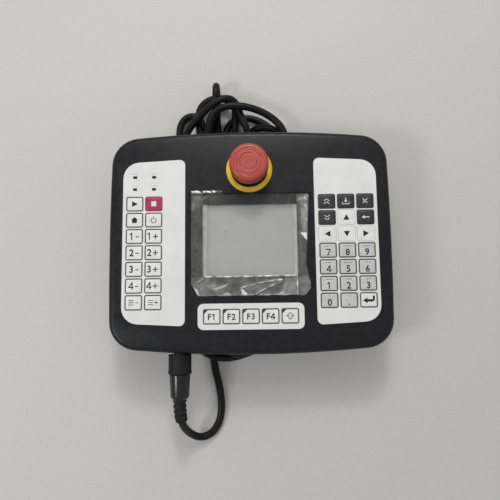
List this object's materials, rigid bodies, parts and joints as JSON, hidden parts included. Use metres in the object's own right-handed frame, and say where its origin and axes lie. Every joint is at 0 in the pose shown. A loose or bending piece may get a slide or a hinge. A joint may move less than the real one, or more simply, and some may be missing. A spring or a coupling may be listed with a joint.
{
  "type": "teach pendant",
  "caption": "Wide two-handed teach pendant with membrane keys, a small display, a latching emergency stop and a plug-in cable wound up under it.",
  "frame": {"origin": "middle of the case, on the surface that the hand grips stand on", "axes": "+X to the right of the face, +Y to the face's top edge, +Z out of the face"},
  "size_m": [0.252, 0.3343, 0.0805],
  "materials": {
    "case_black": "fine moulded texture",
    "back_black": "fine moulded texture",
    "seal_rubber": "smooth",
    "screw_steel": "plated",
    "panel_white": "satin printed film",
    "key_white": "satin printed film",
    "key_grey": "satin printed film",
    "key_dark": "satin printed film",
    "key_red": "satin printed film",
    "window_clear": "clear",
    "display_grey": "liquid crystal glass in a metal frame",
    "film_clear": "thin crumpled clear film",
    "board_green": "solder mask",
    "stop_red": "satin",
    "stop_yellow": "satin",
    "switch_black": "satin",
    "connector_black": "satin",
    "plug_black": "glossy",
    "ring_black": "satin",
    "boot_rubber": "ribbed",
    "cable_black": "smooth jacket"
  },
  "bodies": {
    "pendant": {"front_cover": "case_black", "rear_cover": "back_black", "case_seal": "seal_rubber", "screws": "screw_steel", "key_panels": "panel_white", "display_window": "window_clear", "display_module": "display_grey", "display_film": "film_clear", "main_board": "board_green", "stop_collar": "stop_yellow", "stop_switch_block": "switch_black", "cable_socket": "connector_black", "cable_plug": "plug_black", "cable_boot": "boot_rubber", "cable": "cable_black", "cable_coil": "cable_black", "controller_plug": "plug_black"},
    "stop_plunger": {"stop_stem": "switch_black"},
    "stop_head": {"stop_head": "stop_red"},
    "coupling_ring": {"coupling_ring": "ring_black"},
    "key_run": {"key_run": "key_white"},
    "key_stop": {"key_stop": "key_red"},
    "key_home": {"key_home": "key_white"},
    "key_servo": {"key_servo": "key_white"},
    "key_axis1_minus": {"key_axis1_minus": "key_white"},
    "key_axis1_plus": {"key_axis1_plus": "key_white"},
    "key_axis2_minus": {"key_axis2_minus": "key_white"},
    "key_axis2_plus": {"key_axis2_plus": "key_white"},
    "key_axis3_minus": {"key_axis3_minus": "key_white"},
    "key_axis3_plus": {"key_axis3_plus": "key_white"},
    "key_axis4_minus": {"key_axis4_minus": "key_white"},
    "key_axis4_plus": {"key_axis4_plus": "key_white"},
    "key_all_minus": {"key_all_minus": "key_white"},
    "key_all_plus": {"key_all_plus": "key_white"},
    "key_page_up": {"key_page_up": "key_dark"},
    "key_write": {"key_write": "key_dark"},
    "key_escape": {"key_escape": "key_dark"},
    "key_page_down": {"key_page_down": "key_dark"},
    "key_up": {"key_up": "key_white"},
    "key_backspace": {"key_backspace": "key_dark"},
    "key_left": {"key_left": "key_white"},
    "key_down": {"key_down": "key_white"},
    "key_right": {"key_right": "key_white"},
    "key_7": {"key_7": "key_grey"},
    "key_8": {"key_8": "key_grey"},
    "key_9": {"key_9": "key_grey"},
    "key_4": {"key_4": "key_grey"},
    "key_5": {"key_5": "key_grey"},
    "key_6": {"key_6": "key_grey"},
    "key_1": {"key_1": "key_grey"},
    "key_2": {"key_2": "key_grey"},
    "key_3": {"key_3": "key_grey"},
    "key_0": {"key_0": "key_grey"},
    "key_point": {"key_point": "key_grey"},
    "key_enter": {"key_enter": "key_white"},
    "key_f1": {"key_f1": "key_white"},
    "key_f2": {"key_f2": "key_white"},
    "key_f3": {"key_f3": "key_white"},
    "key_f4": {"key_f4": "key_white"},
    "key_shift": {"key_shift": "key_white"}
  },
  "joints": [
    {"name": "stop_press", "type": "slide", "parent": "pendant", "child": "stop_plunger", "axis": [0, 0, -1], "range_m": [0, 0.0045]},
    {"name": "stop_twist", "type": "hinge", "parent": "stop_plunger", "child": "stop_head", "pos_m": [0, 0.0633, 0.07], "axis": [0, 0, -1], "range_deg": [0, 45], "stiffness_Nm_per_rad": 0.05},
    {"name": "ring_turn", "type": "hinge", "parent": "pendant", "child": "coupling_ring", "pos_m": [-0.0633, -0.108, 0.041], "axis": [0, -1, 0], "range_deg": [0, 60]},
    {"name": "key_run_press", "type": "slide", "parent": "pendant", "child": "key_run", "axis": [0, 0, -1], "range_m": [0, 0.0004], "stiffness_N_per_m": 2000},
    {"name": "key_stop_press", "type": "slide", "parent": "pendant", "child": "key_stop", "axis": [0, 0, -1], "range_m": [0, 0.0004], "stiffness_N_per_m": 2000},
    {"name": "key_home_press", "type": "slide", "parent": "pendant", "child": "key_home", "axis": [0, 0, -1], "range_m": [0, 0.0004], "stiffness_N_per_m": 2000},
    {"name": "key_servo_press", "type": "slide", "parent": "pendant", "child": "key_servo", "axis": [0, 0, -1], "range_m": [0, 0.0004], "stiffness_N_per_m": 2000},
    {"name": "key_axis1_minus_press", "type": "slide", "parent": "pendant", "child": "key_axis1_minus", "axis": [0, 0, -1], "range_m": [0, 0.0004], "stiffness_N_per_m": 2000},
    {"name": "key_axis1_plus_press", "type": "slide", "parent": "pendant", "child": "key_axis1_plus", "axis": [0, 0, -1], "range_m": [0, 0.0004], "stiffness_N_per_m": 2000},
    {"name": "key_axis2_minus_press", "type": "slide", "parent": "pendant", "child": "key_axis2_minus", "axis": [0, 0, -1], "range_m": [0, 0.0004], "stiffness_N_per_m": 2000},
    {"name": "key_axis2_plus_press", "type": "slide", "parent": "pendant", "child": "key_axis2_plus", "axis": [0, 0, -1], "range_m": [0, 0.0004], "stiffness_N_per_m": 2000},
    {"name": "key_axis3_minus_press", "type": "slide", "parent": "pendant", "child": "key_axis3_minus", "axis": [0, 0, -1], "range_m": [0, 0.0004], "stiffness_N_per_m": 2000},
    {"name": "key_axis3_plus_press", "type": "slide", "parent": "pendant", "child": "key_axis3_plus", "axis": [0, 0, -1], "range_m": [0, 0.0004], "stiffness_N_per_m": 2000},
    {"name": "key_axis4_minus_press", "type": "slide", "parent": "pendant", "child": "key_axis4_minus", "axis": [0, 0, -1], "range_m": [0, 0.0004], "stiffness_N_per_m": 2000},
    {"name": "key_axis4_plus_press", "type": "slide", "parent": "pendant", "child": "key_axis4_plus", "axis": [0, 0, -1], "range_m": [0, 0.0004], "stiffness_N_per_m": 2000},
    {"name": "key_all_minus_press", "type": "slide", "parent": "pendant", "child": "key_all_minus", "axis": [0, 0, -1], "range_m": [0, 0.0004], "stiffness_N_per_m": 2000},
    {"name": "key_all_plus_press", "type": "slide", "parent": "pendant", "child": "key_all_plus", "axis": [0, 0, -1], "range_m": [0, 0.0004], "stiffness_N_per_m": 2000},
    {"name": "key_page_up_press", "type": "slide", "parent": "pendant", "child": "key_page_up", "axis": [0, 0, -1], "range_m": [0, 0.0004], "stiffness_N_per_m": 2000},
    {"name": "key_write_press", "type": "slide", "parent": "pendant", "child": "key_write", "axis": [0, 0, -1], "range_m": [0, 0.0004], "stiffness_N_per_m": 2000},
    {"name": "key_escape_press", "type": "slide", "parent": "pendant", "child": "key_escape", "axis": [0, 0, -1], "range_m": [0, 0.0004], "stiffness_N_per_m": 2000},
    {"name": "key_page_down_press", "type": "slide", "parent": "pendant", "child": "key_page_down", "axis": [0, 0, -1], "range_m": [0, 0.0004], "stiffness_N_per_m": 2000},
    {"name": "key_up_press", "type": "slide", "parent": "pendant", "child": "key_up", "axis": [0, 0, -1], "range_m": [0, 0.0004], "stiffness_N_per_m": 2000},
    {"name": "key_backspace_press", "type": "slide", "parent": "pendant", "child": "key_backspace", "axis": [0, 0, -1], "range_m": [0, 0.0004], "stiffness_N_per_m": 2000},
    {"name": "key_left_press", "type": "slide", "parent": "pendant", "child": "key_left", "axis": [0, 0, -1], "range_m": [0, 0.0004], "stiffness_N_per_m": 2000},
    {"name": "key_down_press", "type": "slide", "parent": "pendant", "child": "key_down", "axis": [0, 0, -1], "range_m": [0, 0.0004], "stiffness_N_per_m": 2000},
    {"name": "key_right_press", "type": "slide", "parent": "pendant", "child": "key_right", "axis": [0, 0, -1], "range_m": [0, 0.0004], "stiffness_N_per_m": 2000},
    {"name": "key_7_press", "type": "slide", "parent": "pendant", "child": "key_7", "axis": [0, 0, -1], "range_m": [0, 0.0004], "stiffness_N_per_m": 2000},
    {"name": "key_8_press", "type": "slide", "parent": "pendant", "child": "key_8", "axis": [0, 0, -1], "range_m": [0, 0.0004], "stiffness_N_per_m": 2000},
    {"name": "key_9_press", "type": "slide", "parent": "pendant", "child": "key_9", "axis": [0, 0, -1], "range_m": [0, 0.0004], "stiffness_N_per_m": 2000},
    {"name": "key_4_press", "type": "slide", "parent": "pendant", "child": "key_4", "axis": [0, 0, -1], "range_m": [0, 0.0004], "stiffness_N_per_m": 2000},
    {"name": "key_5_press", "type": "slide", "parent": "pendant", "child": "key_5", "axis": [0, 0, -1], "range_m": [0, 0.0004], "stiffness_N_per_m": 2000},
    {"name": "key_6_press", "type": "slide", "parent": "pendant", "child": "key_6", "axis": [0, 0, -1], "range_m": [0, 0.0004], "stiffness_N_per_m": 2000},
    {"name": "key_1_press", "type": "slide", "parent": "pendant", "child": "key_1", "axis": [0, 0, -1], "range_m": [0, 0.0004], "stiffness_N_per_m": 2000},
    {"name": "key_2_press", "type": "slide", "parent": "pendant", "child": "key_2", "axis": [0, 0, -1], "range_m": [0, 0.0004], "stiffness_N_per_m": 2000},
    {"name": "key_3_press", "type": "slide", "parent": "pendant", "child": "key_3", "axis": [0, 0, -1], "range_m": [0, 0.0004], "stiffness_N_per_m": 2000},
    {"name": "key_0_press", "type": "slide", "parent": "pendant", "child": "key_0", "axis": [0, 0, -1], "range_m": [0, 0.0004], "stiffness_N_per_m": 2000},
    {"name": "key_point_press", "type": "slide", "parent": "pendant", "child": "key_point", "axis": [0, 0, -1], "range_m": [0, 0.0004], "stiffness_N_per_m": 2000},
    {"name": "key_enter_press", "type": "slide", "parent": "pendant", "child": "key_enter", "axis": [0, 0, -1], "range_m": [0, 0.0004], "stiffness_N_per_m": 2000},
    {"name": "key_f1_press", "type": "slide", "parent": "pendant", "child": "key_f1", "axis": [0, 0, -1], "range_m": [0, 0.0004], "stiffness_N_per_m": 2000},
    {"name": "key_f2_press", "type": "slide", "parent": "pendant", "child": "key_f2", "axis": [0, 0, -1], "range_m": [0, 0.0004], "stiffness_N_per_m": 2000},
    {"name": "key_f3_press", "type": "slide", "parent": "pendant", "child": "key_f3", "axis": [0, 0, -1], "range_m": [0, 0.0004], "stiffness_N_per_m": 2000},
    {"name": "key_f4_press", "type": "slide", "parent": "pendant", "child": "key_f4", "axis": [0, 0, -1], "range_m": [0, 0.0004], "stiffness_N_per_m": 2000},
    {"name": "key_shift_press", "type": "slide", "parent": "pendant", "child": "key_shift", "axis": [0, 0, -1], "range_m": [0, 0.0004], "stiffness_N_per_m": 2000}
  ]
}
